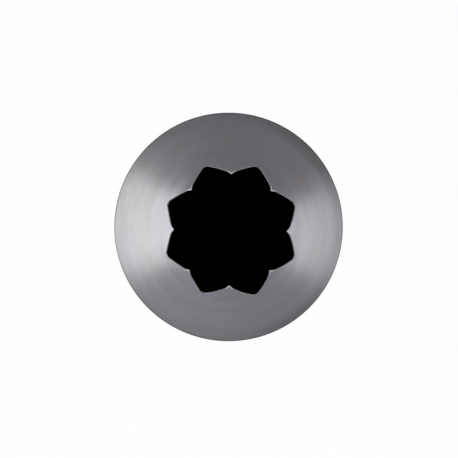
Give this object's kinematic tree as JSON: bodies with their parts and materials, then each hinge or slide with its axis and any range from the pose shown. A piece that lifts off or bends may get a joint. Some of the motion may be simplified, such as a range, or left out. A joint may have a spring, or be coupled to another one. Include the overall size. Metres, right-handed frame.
{
  "type": "piping nozzle",
  "caption": "Open star piping nozzle: a thin steel cone whose small end is cut into pressed-in pointed teeth, for piping from a bag.",
  "frame": {"origin": "centre of the rim circle, on the plane that the rim stands on", "axes": "+Z along the nozzle's axis, from the rim towards the star mouth; a tooth points along +X"},
  "size_m": [0.034, 0.034, 0.05],
  "materials": {
    "steel": "satin stainless steel, brushed around the axis"
  },
  "bodies": {
    "root": {"nozzle_shell": "steel"}
  },
  "joints": []
}
